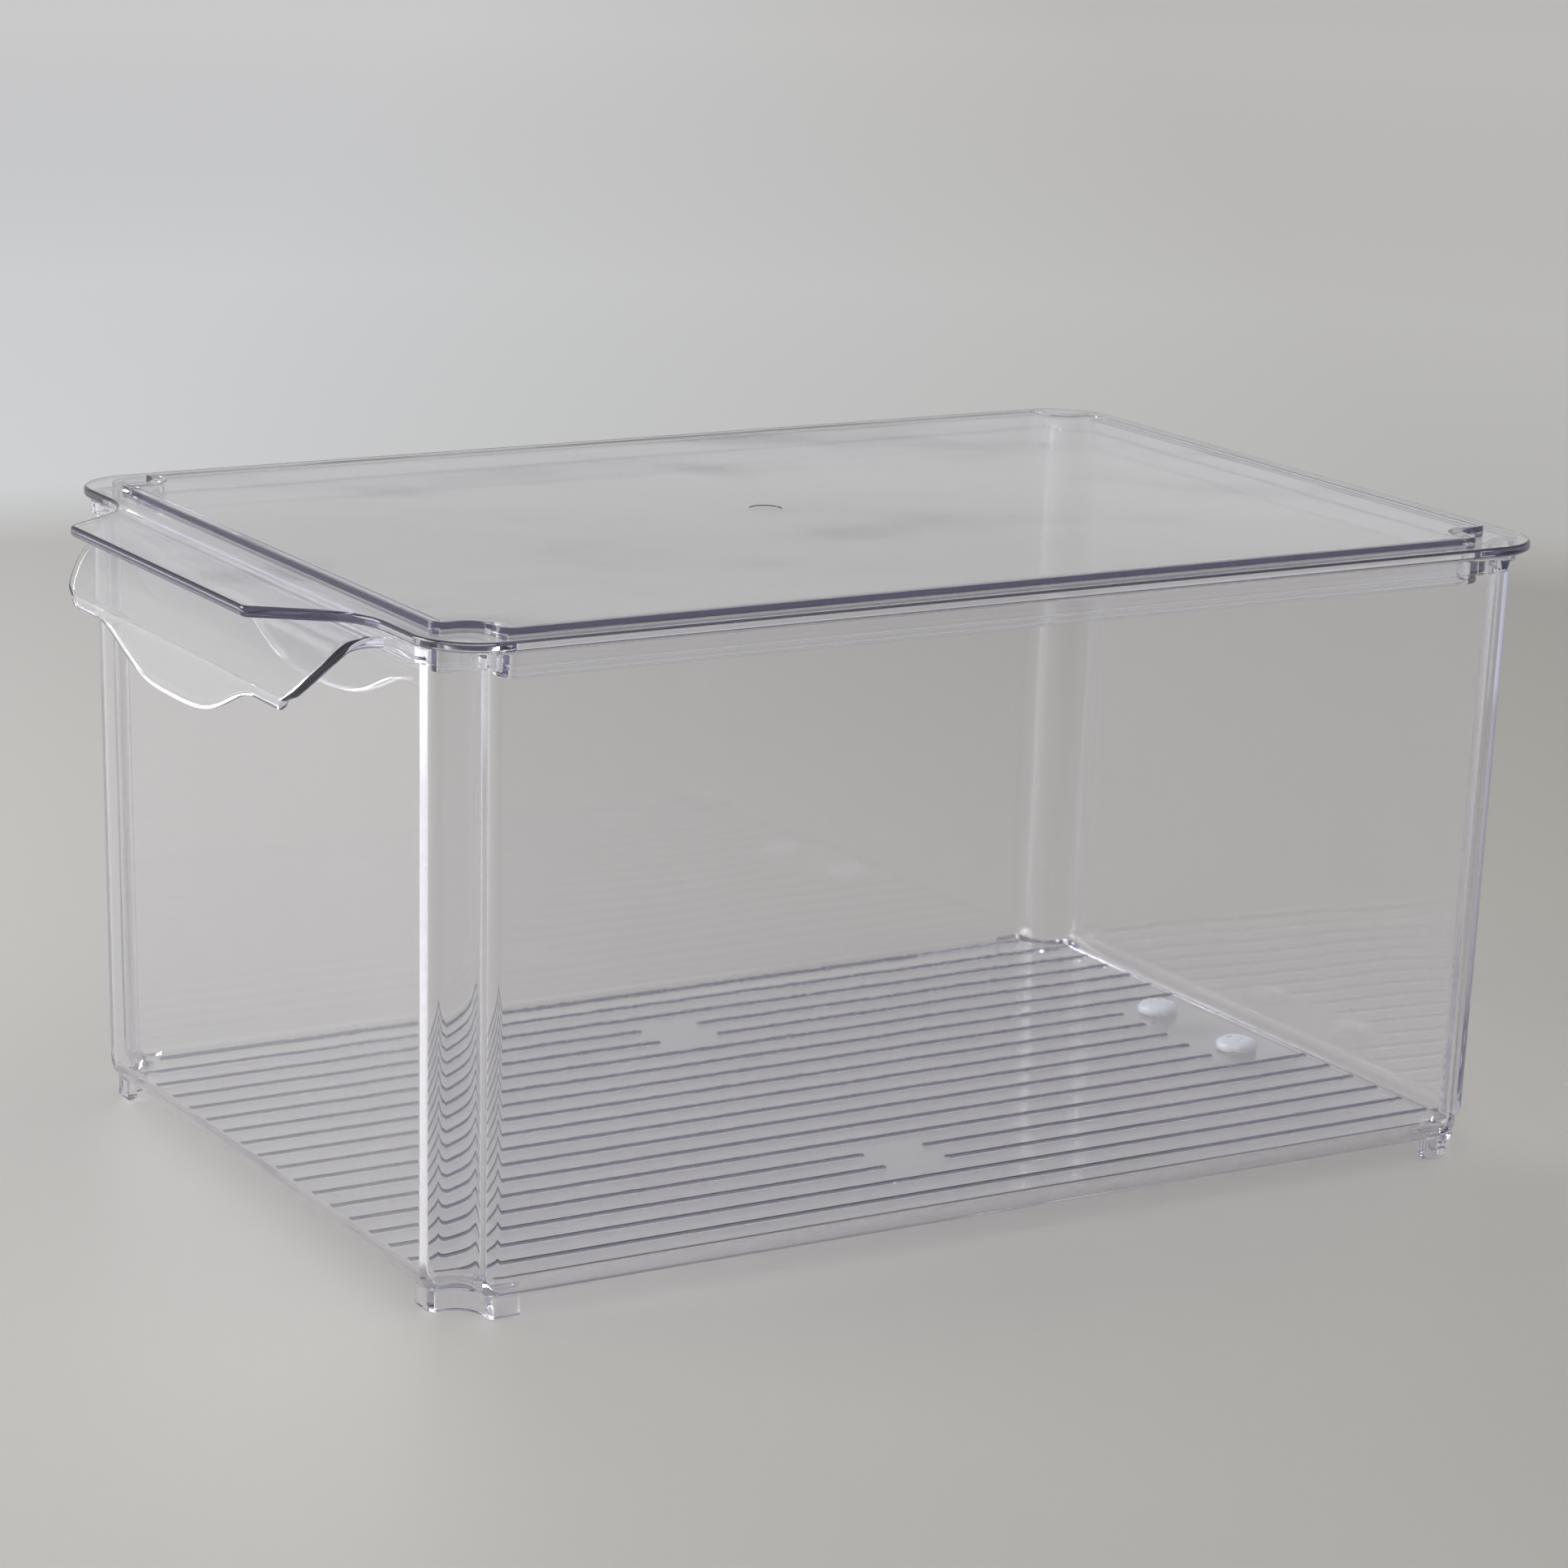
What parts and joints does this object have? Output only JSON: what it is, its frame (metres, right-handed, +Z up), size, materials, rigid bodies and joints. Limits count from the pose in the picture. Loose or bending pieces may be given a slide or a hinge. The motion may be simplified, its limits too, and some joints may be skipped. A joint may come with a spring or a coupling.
{
  "type": "fridge organizer box",
  "caption": "Clear rectangular storage bin with notched corners, a ribbed floor, a front pull and a lift-off lid that has a raised flat panel and a lift tab.",
  "frame": {"origin": "middle of the box's overall outline, with the lid's tab, on the surface that the feet stand on", "axes": "+Z up, -Y towards the side with the pull and the lid's tab, X across the box"},
  "size_m": [0.215, 0.332, 0.1614],
  "materials": {
    "clear_plastic": "clear, polished, see-through",
    "frosted_rubber": "frosted, slightly see-through"
  },
  "bodies": {
    "tub": {"tub": "clear_plastic", "front_left_foot": "clear_plastic", "front_right_foot": "clear_plastic", "rear_left_foot": "clear_plastic", "rear_right_foot": "clear_plastic", "left_bumper": "frosted_rubber", "right_bumper": "frosted_rubber"},
    "lid": {"lid": "clear_plastic"}
  },
  "joints": [
    {"name": "lid_lift", "type": "slide", "parent": "tub", "child": "lid", "axis": [0, 0, 1], "range_m": [0, 0.12]}
  ]
}
